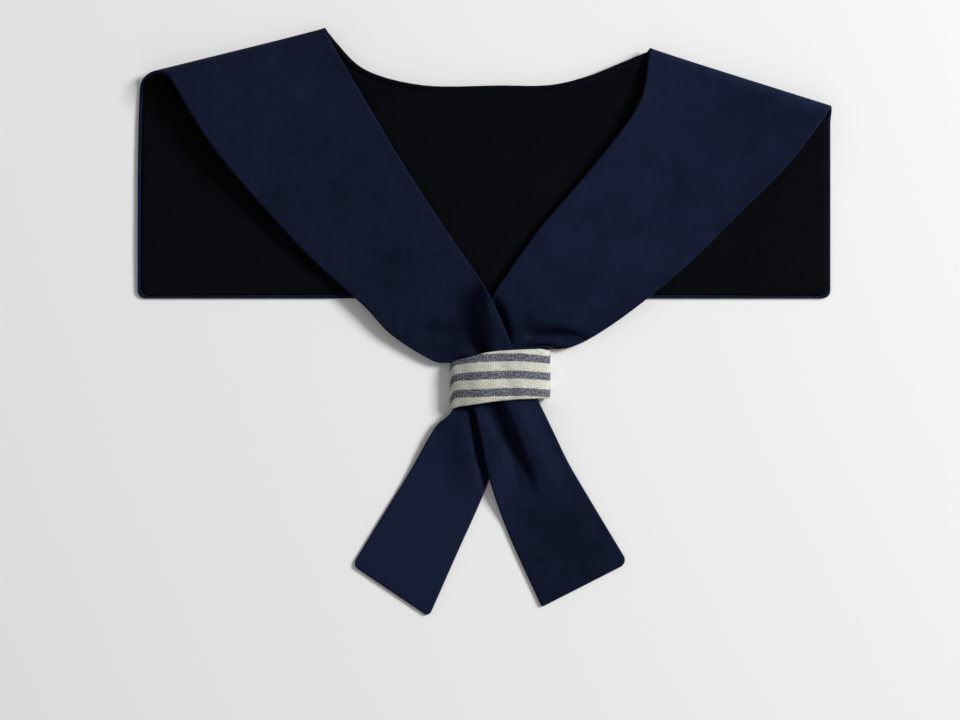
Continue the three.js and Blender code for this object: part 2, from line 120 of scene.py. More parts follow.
# in_drop, in_reach, out_drop, out_reach, lift: as in the solids
LAPEL_ROWS = {
    "left": [
        (0.0, 1.0, 0.0, 1.0, 1.0),
        (0.2, 0.802, 0.229, 0.861, 0.66),
        (0.42, 0.579, 0.444, 0.684, 0.3),
        (0.635, 0.34, 0.633, 0.51, 0.1),
        (0.795, 0.155, 0.801, 0.326, 0.02),
        (0.88, 0.083, 0.908, 0.225, 0.0),
        (0.95, 0.031, 1.0, 0.08, 0.0),
        (1.0, 0.0, 1.02, 0.0, 0.0),
    ],
    "right": [
        (0.0, 1.0, 0.0, 1.0, 1.0),
        (0.17, 0.936, 0.196, 0.874, 0.66),
        (0.37, 0.68, 0.405, 0.7, 0.3),
        (0.565, 0.384, 0.61, 0.527, 0.1),
        (0.73, 0.172, 0.785, 0.353, 0.02),
        (0.825, 0.066, 0.917, 0.198, 0.0),
        (0.92, 0.02, 0.98, 0.09, 0.0),
        (1.0, 0.0, 1.0, 0.0, 0.0),
    ],
}

# top_in, top_out, bottom_in, bottom_out, in shares of half the clear width of the loop
PASS_ROWS = {"left": (0.3, -1.0, 0.834, -0.63), "right": (-0.5, 1.0, -1.04, 0.52)}

# along, bow, width, turn in degrees
TAIL_ROWS = {
    "left": {
        "lean": 23.6,
        "length": 0.992,
        "sections": [
            (0.168, -0.009, 0.81, 3),
            (0.361, -0.027, 0.894, 10),
            (0.613, -0.026, 0.98, 20),
            (1.0, 0.0, 1.071, 27),
        ],
    },
    "right": {
        "lean": -27.5,
        "length": 1.047,
        "sections": [
            (0.152, -0.025, 0.75, -3),
            (0.403, -0.004, 0.868, -10),
            (0.7, -0.001, 0.923, -28),
            (1.0, 0.0, 1.02, -34),
        ],
    },
}

# Share of half the neck's width, and drop as a share of the nape's
BACK_NECK_ROWS = [
    (-0.94, 0.25),
    (-0.78, 0.7),
    (-0.43, 1.0),
    (0.1, 1.02),
    (0.4, 1.0),
    (0.62, 0.85),
    (0.86, 0.57),
]


def even_crease(widths, spots):
    """Rows of a crease whose widths stay the same."""
    return [(*spot, *widths) for spot in spots]


# Creases and dents: x, y of the bottom, depth (a ridge's is below 0), and the widths beside the
# line: to the left and right of a line down the collar, or below and above a line across it.
CREASES = {
    "left": {
        "valley": [
            (-5.6, -96.0, 0.0, 8.0, 4.2),
            (-4.9, -102.5, 1.0, 8.0, 4.0),
            (-3.9, -108.5, 1.6, 7.0, 3.6),
            (-2.6, -114.5, 2.3, 5.4, 3.0),
            (-0.9, -118.5, 2.6, 4.4, 2.4),
            (0.6, -122.2, 2.1, 3.6, 2.0),
            (1.4, -128.0, 0.6, 4.0, 2.6),
            (2.2, -135.5, 1.0, 3.6, 3.2),
            (3.6, -142.5, 2.4, 3.6, 3.2),
            (7.7, -152.0, 2.8, 3.8, 3.2),
            (11.0, -160.5, 2.3, 4.0, 3.4),
            (14.4, -168.8, 1.4, 4.0, 3.6),
            (17.6, -176.5, 0.0, 4.0, 3.8),
        ],
        "hollow": [
            (-27.0, -114.5, 0.0, 3.0, 4.2),
            (-20.5, -115.2, 1.2, 2.6, 4.2),
            (-14.0, -115.6, 1.2, 2.6, 4.2),
            (-8.5, -115.8, 0.0, 3.0, 4.2),
        ],
        "tuck": even_crease((0.8, 0.9), [
            (-12.4, -125.4, 0.0), (-9.5, -125.0, 1.1), (-6.0, -124.3, 1.0), (-2.8, -123.2, 0.0),
        ]),
        "corner crease": even_crease((1.2, 1.6), [
            (34.5, -198.5, 0.0), (42.0, -200.2, 0.35), (50.5, -201.5, 0.0),
        ]),
    },
    "right": {
        "wedge": [
            (2.6, -100.0, 0.0, 3.0, 1.6),
            (4.0, -103.4, 1.8, 3.4, 1.8),
            (5.4, -106.8, 2.9, 3.6, 1.9),
            (6.9, -110.2, 3.2, 3.6, 1.8),
            (8.3, -113.8, 2.6, 3.0, 1.5),
            (9.7, -118.0, 0.8, 2.4, 1.2),
            (10.6, -121.0, 0.0, 2.0, 1.0),
        ],
        "brow": [
            (16.0, -112.4, 0.0, 2.2, 6.0),
            (20.0, -112.0, -1.3, 2.2, 6.0),
            (27.0, -111.8, -1.5, 2.2, 6.0),
            (33.0, -112.2, -1.1, 2.4, 6.0),
            (38.5, -113.6, 0.0, 2.4, 6.0),
        ],
        "dent": [
            (15.6, -117.3, 0.0, 1.1, 2.2),
            (18.4, -116.9, 2.6, 1.1, 2.6),
            (22.0, -116.4, 3.6, 1.2, 2.7),
            (27.0, -116.2, 3.9, 1.2, 2.7),
            (33.0, -116.8, 3.3, 1.4, 2.6),
            (37.5, -117.4, 1.8, 1.6, 2.4),
            (40.5, -118.8, 0.0, 1.6, 2.2),
        ],
        "ridge": [
            (16.0, -118.8, 0.0, 1.0, 1.1),
            (20.0, -118.3, -1.2, 0.9, 1.0),
            (26.0, -118.2, -1.1, 0.9, 1.0),
            (32.0, -119.2, 0.0, 1.0, 1.1),
        ],
        "curl": even_crease((0.7, 0.45), [
            (17.5, -120.3, 0.0), (20.8, -119.4, 1.6), (24.7, -119.6, 1.8), (28.0, -120.4, 1.3),
            (31.5, -121.7, 0.0),
        ]),
        "curl body": even_crease((1.0, 0.8), [
            (19.5, -121.6, 0.0), (24.5, -121.3, -1.2), (29.0, -122.0, -1.0), (32.5, -122.6, 0.0),
        ]),
    },
}

# Folds that raise the cloth on one side of a line down it. x, y of the line, height, width of
# the rise, and the share of the height that is lost again further out.
RISES = {
    "left": {
        "side": 1,
        "reach": 9.0,
        "rows": [
            (-1.2, -91.5, 0.0, 5.0, 0.0),
            (-0.9, -99.5, 2.8, 4.6, 0.0),
            (-0.3, -107.0, 5.2, 4.2, 0.0),
            (0.6, -113.5, 5.8, 3.6, 0.0),
            (1.3, -118.5, 4.4, 2.6, 0.0),
            (2.0, -122.2, 2.4, 2.4, 0.1),
            (3.6, -129.5, 2.3, 3.0, 0.3),
            (5.0, -136.5, 2.1, 3.6, 0.5),
            (7.2, -143.3, 2.5, 4.4, 0.7),
            (11.8, -153.6, 3.1, 4.6, 0.85),
            (15.2, -162.3, 2.6, 4.6, 0.9),
            (18.4, -171.0, 1.4, 4.6, 0.95),
            (21.4, -180.0, 0.0, 4.6, 1.0),
        ],
    },
    "right": {
        "side": -1,
        "reach": 13.0,
        "rows": [
            (-6.4, -142.5, 0.0, 1.2, 0.7),
            (-6.2, -146.5, 2.2, 1.0, 0.7),
            (-5.1, -156.5, 3.0, 0.9, 0.75),
            (-3.6, -163.5, 2.8, 0.9, 0.8),
            (-1.9, -169.5, 1.8, 1.2, 0.85),
            (0.3, -178.5, 0.0, 1.6, 0.9),
        ],
    },
}

# Paler and darker patches of the navy: x, y, reach, amount; the darker one at -6, -106 is painted shade
NAVY_TONE_PATCHES = [
    (-32.0, -182.0, 26.0, 1.0),
    (-14.0, -206.0, 18.0, 0.55),
    (36.0, -200.0, 24.0, -0.35),
    (26.0, -168.0, 10.0, 0.15),
    (58.0, -62.0, 42.0, 0.28),
    (88.0, -22.0, 30.0, 0.2),
    (-36.0, -98.0, 34.0, -0.12),
    (-62.0, -58.0, 22.0, -0.22),
    # painted shade over the left lapel's valley, where the ridge's shadow falls
    (-6.0, -106.0, 12.0, -0.3),
    (-100.0, -12.0, 16.0, -0.12),
]

# Painted shade along folds: the navy is darkened along these lines, where shade falls in the valleys. As
# in the creases, but with an amount for the depth of the painted shade.
PAINTED_SHADE_FOLDS = {
    "between the tails": [
        (-5.5, -143.0, 1.0, 1.7, 1.7),
        (-3.8, -152.0, 1.0, 1.9, 1.7),
        (-2.5, -157.8, 1.0, 1.9, 1.7),
        (-1.1, -163.4, 1.0, 1.9, 1.7),
        (0.3, -167.4, 0.9, 1.9, 1.7),
        (1.8, -172.0, 0.7, 1.9, 1.7),
    ],
    "left tail": even_crease((2.8, 2.8), [
        (5.2, -142.5, 0.9), (9.4, -152.0, 1.0), (12.2, -157.8, 0.9), (14.4, -163.4, 0.7),
        (16.4, -169.1, 0.5), (19.0, -175.8, 0.0),
    ]),
    "left lapel": [
        (-7.6, -98.0, 0.0, 3.0, 3.0),
        (-5.2, -106.0, 0.5, 3.0, 2.6),
        (-3.2, -112.5, 0.9, 2.8, 2.4),
        (-1.6, -117.0, 1.1, 2.6, 2.2),
        (0.2, -121.5, 1.1, 2.4, 2.0),
    ],
    "right lapel": even_crease((1.3, 1.9), [
        (18.4, -115.0, 0.0), (21.5, -114.8, 0.8), (28.0, -114.6, 0.8), (33.5, -115.2, 0.6),
        (37.0, -115.8, 0.0),
    ]),
}

# Points of the collar's grid, and its edges
EDGE_DISTANCES = np.array([0.0, 0.1, 0.3, 0.6, 1.1, LIP, 2.6, 3.6, 6.0])
CORNER_RADII = {"left": (3.4, 1.0), "right": (2.6, 2.2)}  # a tail's, at its neck and outer edges
MIDDLE_COLUMNS = 34
EDGE_SHARE = 0.3  # most of a section's width that the points near one edge may take
END_STEP = 1.0  # least length of the step before a tail's end rows
FOLD_STEPS = 26
CURVE_STEPS, CURVE_POINTS = 60, 400
SIDE_BEND = 4  # how soon the flap's sides reach their full width
OUTLINE_STRIDE = 4  # the lower band's outline takes each fourth of its rows
TAIL_POINT = (5, 12)  # row and column of a point on the left band's tail, whose face is up
UNDER_ALL = -10.0  # a height below everything, from which the upper band is looked for
FAR = 1e3  # distance from a tail's end, where there is none
SLACK = 0.01
TINY = 1e-9

FOLD_ALLOWANCE = 2.0  # cloth that runs round a shoulder fold
UV_SCALE = 0.01  # of the cloth map, for each millimetre
SEAM, SEAM_REACH, PUCKER_HEIGHT = 2.2, 2.0, 0.05
PUCKERS = [(7.3, 1.0, 0.0), (4.6, 0.7, 1.0)]  # length, share of the height, phase
# The under cloth's lower face: distance from the collar's edge, and depth below the middle
TURNED_DEPTH = [(LIP, 0.4), (2.2, 0.58), (2.6, HALF)]


def smooth(share):
    t = np.clip(share, 0, 1)
    return t * t * (3 - 2 * t)


def ramp(value, start, reach):
    """0 up to start and 1 from reach beyond it."""
    return smooth((value - start) / reach)


def through(values, place):
    """A smooth value through an array's rows, at places counted in rows."""
    last = len(values) - 1
    row = np.clip(np.floor(place).astype(int), 0, last - 1)
    t = place - row
    padded = np.concatenate([[2 * values[0] - values[1]], values, [2 * values[-1] - values[-2]]])
    p0, p1, p2, p3 = (padded[row + k] for k in range(4))
    bend = 2 * p0 - 5 * p1 + 4 * p2 - p3 + (3 * (p1 - p2) + p3 - p0) * t
    return p1 + 0.5 * t * (p2 - p0 + t * bend)


def direction(angle):
    return np.array([math.cos(angle), math.sin(angle)])


LOOP_ACROSS = direction(LOOP_TILT)
LOOP_UP = direction(LOOP_TILT + math.pi / 2)
LOOP_END = np.array([0.0, 1.0])  # along its ends, which stay upright
LOOP_MIDDLE = np.array([LOOP_OFFSET, -FRONT_DROP]) - LOOP_END * CAD_LOOP_HEIGHT / 2

# The working plane's place in the frame, from the lower left corner of the loop's solid
loop_low, loop_high = (np.array(corner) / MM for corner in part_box("keeper_loop"))
SHIFT = np.array([
    (loop_low[0] + loop_high[0]) / 2 - LOOP_OFFSET,
    loop_low[1] - LOOP_MIDDLE[1] + CAD_LOOP_HEIGHT / 2 + CAD_LOOP_WIDTH / 2 * math.sin(LOOP_TILT),
    0.0,
])


class Shoulder:
    """The places of one shoulder fold, in the working plane."""

    def __init__(self, side, neck_drop, slope, splay, tuck, ease):
        angle = math.radians(slope)
        self.side = side
        self.ease = ease
        self.along = np.array([side * math.cos(angle), -math.sin(angle)])
        self.away = np.array([side * math.sin(angle), math.cos(angle)])
        self.neck = np.array([NECK_SHIFT + side * NECK_WIDTH / 2, -neck_drop * NAPE_DROP])
        outer_x = side * (COLLAR_WIDTH / 2 - tuck * OUTER_FOLD_RADIUS)
        outer_y = self.neck[1] - math.tan(angle) * abs(outer_x - self.neck[0])
        self.inner = self.neck - self.away * NECK_FOLD_RADIUS
        self.outer_under = np.array([outer_x, outer_y - OUTER_FOLD_RADIUS * self.away[1]])
        self.outer_over = self.outer_under - self.along * splay * OUTER_FOLD_RADIUS


SHOULDER = {name: Shoulder(**row) for name, row in SHOULDERS.items()}


def loop_point(share, edge):
    bow = LOOP_BOW * (1 - share * share)
    return LOOP_MIDDLE + LOOP_ACROSS * share * PASS_HALF + LOOP_END * (edge * LOOP_HEIGHT / 2 + bow)


def band_sections(name):
    """The control sections of one band, from its shoulder fold to the end of its tail."""
    shoulder = SHOULDER[name]
    top_in, top_out, bottom_in, bottom_out = PASS_ROWS[name]

    def place(start, end, drop, reach):
        return np.array([end[0] + reach * (start[0] - end[0]), start[1] + drop * (end[1] - start[1])])

    inner_end, outer_end = loop_point(top_in, 1), loop_point(top_out, 1)
    rows = []
    for in_drop, in_reach, out_drop, out_reach, lift in LAPEL_ROWS[name]:
        inner = place(shoulder.inner, inner_end, in_drop, in_reach)
        outer = place(shoulder.outer_over, outer_end, out_drop, out_reach)
        rows.append((inner, outer, lift))
    low_in, low_out = loop_point(bottom_in, -1), loop_point(bottom_out, -1)
    rows.append((low_in, low_out, 0.0))
    tail = TAIL_ROWS[name]
    lean = math.radians(tail["lean"])
    length = tail["length"] * TAIL_LENGTH
    down, right = direction(lean - math.pi / 2), direction(lean)
    neck_side = 1 if name == "left" else -1
    for along, bow, width, turn in tail["sections"]:
        middle = (low_in + low_out) / 2 + down * along * length + right * bow * length
        across = direction(math.radians(turn)) * neck_side * width * TAIL_END_WIDTH / 2
        rows.append((middle + across, middle - across, 0.0))
    return rows


LAST_ROW = len(LAPEL_ROWS["left"]) + len(TAIL_ROWS["left"]["sections"])
STEPS_BY_ROW = [14] * 4 + [10] * 3 + [14, 10, 14, 12, 12]  # from one section to the next


def band_rungs(name):
    """Inner and outer edge points, lift, place in rows and distance from the tail's end."""
    rows = band_sections(name)
    steps_run = [row + np.arange(steps) / steps for row, steps in enumerate(STEPS_BY_ROW)]
    place = np.concatenate(steps_run + [[LAST_ROW]])
    columns = np.array([(*inner, *outer, lift) for inner, outer, lift in rows]).T

    def at(places):
        in_x, in_y, out_x, out_y, lift = (through(column, places) for column in columns)
        return np.stack([in_x, in_y], 1), np.stack([out_x, out_y], 1), lift

    def from_end(places):
        a, b, _ = at(places)
        middle = (a + b) / 2
        steps = np.linalg.norm(np.diff(middle, axis=0), axis=1)
        return np.concatenate([np.cumsum(steps[::-1])[::-1], [0]])

    left = from_end(place)
    keep = left > EDGE_DISTANCES[-1] + END_STEP
    extra = np.interp(-EDGE_DISTANCES[::-1], -left, place)
    place = np.concatenate([place[keep], extra])
    inner, outer, lift = at(place)
    end = from_end(place)
    end[-len(EDGE_DISTANCES):] = EDGE_DISTANCES[::-1]
    insets = []
    for radius in CORNER_RADII[name]:
        near = np.clip(radius - end, 0, None)
        insets.append((radius - np.sqrt(radius**2 - near**2))[:, None])
    across = outer - inner
    across /= np.linalg.norm(across, axis=1)[:, None]
    return {
        "in": inner + across * insets[0],
        "out": outer - across * insets[1],
        "lift": lift,
        "place": place,
        "end": end,
    }


def points_between(inner, outer):
    """Width between two edges, and its points' distances, shares of the width and places."""
    width = np.linalg.norm(outer - inner, axis=1)[:, None]
    edge = np.minimum(EDGE_DISTANCES, width * EDGE_SHARE * EDGE_DISTANCES / EDGE_DISTANCES[-1])
    low = edge[:, -1:]
    steps = np.arange(1, MIDDLE_COLUMNS) / MIDDLE_COLUMNS
    distance = np.concatenate([edge, low + (width - 2 * low) * steps, width - edge[:, ::-1]], 1)
    share = distance / width
    return width, distance, share, inner[:, None] + (outer - inner)[:, None] * share[..., None]


def flap_height(distance):
    """Height of the flap's middle, which rises to its neck edge."""
    return FLOOR_LEVEL + NECK_RISE * np.clip(1 - distance / NECK_ROLL_REACH, 0, None) ** 2


def fold_radius(share):
    return NECK_FOLD_RADIUS + (OUTER_FOLD_RADIUS - NECK_FOLD_RADIUS) * share


def ground_height(xy):
    """Height of the middle of a band that lies on what is below it."""
    up = (xy - LOOP_MIDDLE) @ LOOP_UP - LOOP_BOW
    edge_y = xy[..., 1] - (up - LOOP_HEIGHT / 2) / LOOP_UP[1]
    share = (HEM_Y - xy[..., 1]) / (HEM_Y - edge_y)
    above = FLAP_LEVEL + (LOOP_LEVEL - FLAP_LEVEL) * ramp(share, *HANG)
    below = -up - LOOP_HEIGHT / 2
    under = LOOP_LEVEL + (FLOOR_LEVEL - LOOP_LEVEL) * smooth(below / SETTLE_LENGTH)
    return np.where(up > LOOP_HEIGHT / 2, above, under)


def outline_distance(xy, outline):
    """Distance from points to an outline, 0 inside it."""
    flat = xy.reshape(-1, 2)
    best = np.full(len(flat), np.inf)
    inside = np.zeros(len(flat), bool)
    for a, b in zip(outline, np.roll(outline, -1, axis=0)):
        side = b - a
        share = np.clip(((flat - a) @ side) / max(side @ side, TINY), 0, 1)
        best = np.minimum(best, np.linalg.norm(flat - a - share[:, None] * side, axis=1))
        if a[1] != b[1]:
            crosses = (a[1] > flat[:, 1]) != (b[1] > flat[:, 1])
            x = a[0] + (flat[:, 1] - a[1]) / (b[1] - a[1]) * (b[0] - a[0])
            inside ^= crosses & (flat[:, 0] < x)
    return np.where(inside, 0, best).reshape(xy.shape[:-1])


def crease_depth(xy, rows):
    """Depth of a crease at points, from rows of x, y, depth and the widths beside the line."""
    rows = np.array(rows)
    depth = np.zeros(xy.shape[:-1])
    best = np.full(xy.shape[:-1], np.inf)
    for a, b in zip(rows[:-1], rows[1:]):
        side = b[:2] - a[:2]
        off = xy - a[:2]
        share = np.clip((off @ side) / (side @ side), 0, 1)
        away = np.linalg.norm(off - share[..., None] * side, axis=-1)
        turn = side[0] * off[..., 1] - side[1] * off[..., 0]
        deep, left, right = (a[k] + share * (b[k] - a[k]) for k in (2, 3, 4))
        width = np.where(turn > 0, right, left)
        here = deep * np.exp(-((away / width) ** 2))
        nearer = away < best
        depth = np.where(nearer, here, depth)
        best = np.minimum(best, away)
    return depth


def soft_waves(xy, height, size, seed):
    """Gentle unevenness, up to about twice the height, from a few crossing waves."""
    rng = np.random.default_rng(seed)
    total = np.zeros(xy.shape[:-1])
    for _ in range(WAVES_ADDED):
        turn, phase = rng.uniform(0, 2 * math.pi), rng.uniform(0, 2 * math.pi)
        stretch = rng.uniform(*WAVE_STRETCH)
        total += np.sin(xy @ direction(turn) * 2 * math.pi / (size * stretch) + phase)
    return height * (1 + total / WAVES_TOTAL)


def rise(xy, side, reach, rows):
    """How much a fold raises the cloth at points."""
    x, y, height, width, lost = np.array(rows).T
    down = -xy[..., 1]
    line, width, lost = (np.interp(down, -y, column) for column in (x, width, lost))
    height = np.interp(down, -y, height, left=0, right=0)
    off = (xy[..., 0] - line) * side
    return height * smooth(off / width + 0.5) * (1 - lost * smooth((off - width) / reach))


def band_surface(name, rungs, lower_outline):
    width, distance, share, xy = points_between(rungs["in"], rungs["out"])
    fold_top = flap_height(distance) + 2 * fold_radius(share)
    lift = rungs["lift"][:, None]
    height = ground_height(xy) + lift * (fold_top - FLAP_LEVEL)
    place = rungs["place"][:, None]
    free = ramp(place, *WAVES_FROM) * ramp(place, *WAVES_TO)
    height += free * soft_waves(xy, *BAND_WAVES[name])
    if lower_outline is not None:
        away = outline_distance(xy, lower_outline)
        height += CROSSING_STACK * (1 - ramp(away, *STACK_EDGE))
        amount = ramp(place, *PUFF_FROM) * ramp(place, *PUFF_TO)
        outer_taper = 1 - ramp(share, *PUFF_TAPER_ACROSS) * ramp(place, *PUFF_TAPER_ROWS)
        height += BAND_PUFF * amount * outer_taper
    height += rise(xy, **RISES[name])
    for rows in CREASES[name].values():
        height -= crease_depth(xy, rows)
    height = np.maximum(height, LEAST_LEVEL)
    if lower_outline is not None:
        pressed = ramp(away, *COVERED) * ramp(place, *PRESSED_FROM)
        height = np.maximum(height, pressed * (ground_height(xy) + CROSSING_LEAST))
    return np.concatenate([xy, height[..., None]], -1), distance, width


def tucked_under(points, cover):
    """A band's points, pressed down where the band that crosses over it needs the room."""
    rows, columns = cover.shape[:2]
    faces = grid_faces(np.arange(rows * columns).reshape(rows, columns))
    tree = BVHTree.FromPolygons(cover.reshape(-1, 3).tolist(), faces)
    ground = ground_height(points[..., :2])
    pressed = points.copy()
    for spot in np.ndindex(points.shape[:2]):
        x, y, height = points[spot]
        hit = tree.ray_cast(Vector((x, y, UNDER_ALL)), Vector((0, 0, 1)))[0]
        if hit is not None:
            room = max(hit.z - CROSSING_LEAST, ground[spot] - GROUND_SLACK)
            pressed[spot][2] = max(min(height, room), LEAST_LEVEL)
    return pressed


def fold_surface(name):
    shoulder = SHOULDER[name]
    step = (np.arange(1, FOLD_STEPS) / FOLD_STEPS)[:, None]
    turn = math.pi * step
    inner = shoulder.inner + shoulder.away * NECK_FOLD_RADIUS * np.sin(turn)
    eased = step - shoulder.ease * np.sin(2 * turn) / (2 * math.pi)
    base = shoulder.outer_over + (shoulder.outer_under - shoulder.outer_over) * eased
    outer = base + shoulder.away * OUTER_FOLD_RADIUS * np.sin(turn)
    width, distance, share, xy = points_between(inner, outer)
    height = flap_height(distance) + fold_radius(share) * (1 + np.cos(turn))
    return np.concatenate([xy, height[..., None]], -1), distance, width


def evenly(points, count):
    """So many points along a line, evenly spaced, and the length run at each."""
    length = np.concatenate([[0], np.cumsum(np.linalg.norm(np.diff(points, axis=0), axis=1))])
    run = np.linspace(0, length[-1], count)
    return np.stack([np.interp(run, length, column) for column in points.T], 1), run


def centripetal_curve(points):
    """Points along a smooth open curve through a few points, evenly spaced."""
    points = np.asarray(points, float)
    points = np.concatenate([[2 * points[0] - points[1]], points, [2 * points[-1] - points[-2]]])
    out = []
    for p0, p1, p2, p3 in zip(points, points[1:], points[2:], points[3:]):
        t0 = 0.0
        t1 = t0 + np.linalg.norm(p1 - p0) ** 0.5
        t2 = t1 + np.linalg.norm(p2 - p1) ** 0.5
        t3 = t2 + np.linalg.norm(p3 - p2) ** 0.5
        t = np.linspace(t1, t2, CURVE_STEPS, endpoint=False)[:, None]
        a1 = (t1 - t) / (t1 - t0) * p0 + (t - t0) / (t1 - t0) * p1
        a2 = (t2 - t) / (t2 - t1) * p1 + (t - t1) / (t2 - t1) * p2
        a3 = (t3 - t) / (t3 - t2) * p2 + (t - t2) / (t3 - t2) * p3
        b1 = (t2 - t) / (t2 - t0) * a1 + (t - t0) / (t2 - t0) * a2
        b2 = (t3 - t) / (t3 - t1) * a2 + (t - t1) / (t3 - t1) * a3
        out.append((t2 - t) / (t2 - t1) * b1 + (t - t1) / (t2 - t1) * b2)
    return evenly(np.concatenate(out + [points[-2][None]]), CURVE_POINTS)[0]


def flap_surface():
    rows = [(NECK_SHIFT + across * NECK_WIDTH / 2, -drop * NAPE_DROP) for across, drop in BACK_NECK_ROWS]
    neck = centripetal_curve([SHOULDER["left"].inner, *rows, SHOULDER["right"].inner])
    # shares of the neck edge that lead to a side and to a corner of the flap
    side_stretch, corner_stretch = 0.22, 0.04
    side_steps, corner_steps, hem_steps = 26, 8, 90
    half_hem = COLLAR_WIDTH / 2 - HEM_CORNER_RADIUS

    def side_pairs(shoulder):
        side = shoulder.side
        corner = np.array([side * half_hem, HEM_Y + HEM_CORNER_RADIUS])
        top = corner + np.array([side * HEM_CORNER_RADIUS, 0])
        made = []
        for step in range(side_steps + 1):
            share = step / side_steps
            spot = shoulder.outer_under * (1 - share) + top * share
            spot[0] = top[0] + (shoulder.outer_under[0] - top[0]) * (1 - share) ** SIDE_BEND
            made.append((side_stretch * share, spot))
        for step in range(1, corner_steps + 1):
            turn = math.pi / 2 * step / corner_steps
            off = np.array([side * math.cos(turn), -math.sin(turn)]) * HEM_CORNER_RADIUS
            made.append((side_stretch + corner_stretch * step / corner_steps, corner + off))
        return made

    pairs = side_pairs(SHOULDER["left"])
    start = side_stretch + corner_stretch
    for step in range(1, hem_steps):
        share = step / hem_steps
        pairs.append((start + (1 - 2 * start) * share, np.array([half_hem * (2 * share - 1), HEM_Y])))
    pairs += [(1 - share, outer) for share, outer in side_pairs(SHOULDER["right"])[::-1]]
    shares, outer = (np.array(column) for column in zip(*pairs))
    spots = np.linspace(0, 1, len(neck))
    inner = np.stack([np.interp(shares, spots, column) for column in neck.T], 1)
    width, distance, share, xy = points_between(inner, outer)
    free = ramp(xy[..., 1], *FLAP_CALM_HEM) * ramp(distance, *FLAP_CALM_NECK)
    height = flap_height(distance) + free * soft_waves(xy, *FLAP_WAVES)
    return np.concatenate([xy, height[..., None]], -1), distance, width


def unfolded(points, part):
    """Where each point of a band lay on the cut cloth, in the plane of the flap."""
    shoulder = SHOULDER[part]
    off = points[..., :2] - shoulder.neck
    along, down = off @ shoulder.along, -(off @ shoulder.away)
    up = (down + FOLD_ALLOWANCE)[..., None]
    return shoulder.neck + along[..., None] * shoulder.along + up * shoulder.away


def fold_unfolded(points, part):
    """The same for a shoulder fold, whose rows run from its band to the flap."""
    share = (np.arange(1, FOLD_STEPS) / FOLD_STEPS)[:, None, None]
    return unfolded(points, part) * (1 - share) + points[..., :2] * share


def stretch(surface, cloth, order, end=None):
    """One stretch of the collar's grid, its rows in the order in which they follow each other."""
    points, distance, width = surface
    if end is None:
        end = np.full(len(points), FAR)
    return [column[::order] for column in (points, distance, width, cloth, end)]


class Collar:
    """The middle surface of the whole collar, from the left band's tail round to the right's."""

    def __init__(self):
        left, right = band_rungs("left"), band_rungs("right")
        outline = np.concatenate([right["in"][::OUTLINE_STRIDE], right["out"][::-OUTLINE_STRIDE]])
        over = band_surface("left", left, outline)
        under = band_surface("right", right, None)
        under = (tucked_under(under[0], over[0]), *under[1:])
        left_fold, flap, right_fold = fold_surface("left"), flap_surface(), fold_surface("right")
        parts = [
            stretch(over, unfolded(over[0], "left"), -1, left["end"]),
            stretch(left_fold, fold_unfolded(left_fold[0], "left"), 1),
            stretch(flap, flap[0][..., :2], 1),
            stretch(right_fold, fold_unfolded(right_fold[0], "right"), -1),
            stretch(under, unfolded(under[0], "right"), 1, right["end"]),
        ]
        first = len(parts[0][0]) + len(parts[1][0])
        self.flap_rows = (first, first + len(parts[2][0]) - 1)
        columns = (np.concatenate(column) for column in zip(*parts))
        self.points, self.distance, width, self.cloth, end = columns
        nearest = np.minimum(self.distance, width - self.distance)
        self.edge = np.clip(np.minimum(nearest, end[:, None]), 0, None)
        self.pucker()
        self.fade = self.tone_and_painted_shade_at_points()
        self.normals = grid_normals(self.points)
        if self.normals[TAIL_POINT][2] < 0:
            self.normals = -self.normals

    def pucker(self):
        """The seam inside the turned edge draws the cloth in a little, unevenly."""
        steps = np.linalg.norm(np.diff(self.points, axis=0), axis=2)
        along = np.concatenate([np.zeros((1, steps.shape[1])), np.cumsum(steps, axis=0)])
        near = np.exp(-((self.edge - SEAM) / SEAM_REACH) ** 2)
        turns = 2 * math.pi * along
        wave = sum(share * np.sin(turns / length + phase) for length, share, phase in PUCKERS)
        free = ramp(self.points[..., 2], *PUCKER_FREE)
        self.points[..., 2] += PUCKER_HEIGHT * near * wave * free

    def tone_and_painted_shade_at_points(self):
        """How much paler, or darker below 0, the navy is at each point: patches of tone, and painted
        shade along the folds.
        """
        xy = self.points[..., :2]
        total = sum(
            amount * np.exp(-((xy[..., 0] - x) ** 2 + (xy[..., 1] - y) ** 2) / reach**2)
            for x, y, reach, amount in NAVY_TONE_PATCHES
        )
        # painted shade: the navy is darkened along the folds
        for rows in PAINTED_SHADE_FOLDS.values():
            total -= crease_depth(xy, rows)
        return total


def grid_normals(points):
    du = np.gradient(points, axis=0)
    dv = np.gradient(points, axis=1)
    normal = np.cross(du, dv)
    return normal / np.maximum(np.linalg.norm(normal, axis=-1, keepdims=True), TINY)


def edge_thickness(edge):
    """Half the collar's thickness, which is rounded off at its edges."""
    share = np.clip(1 - edge / EDGE_ROUND, 0, 1)
    return HALF * np.sqrt(1 - share**2)


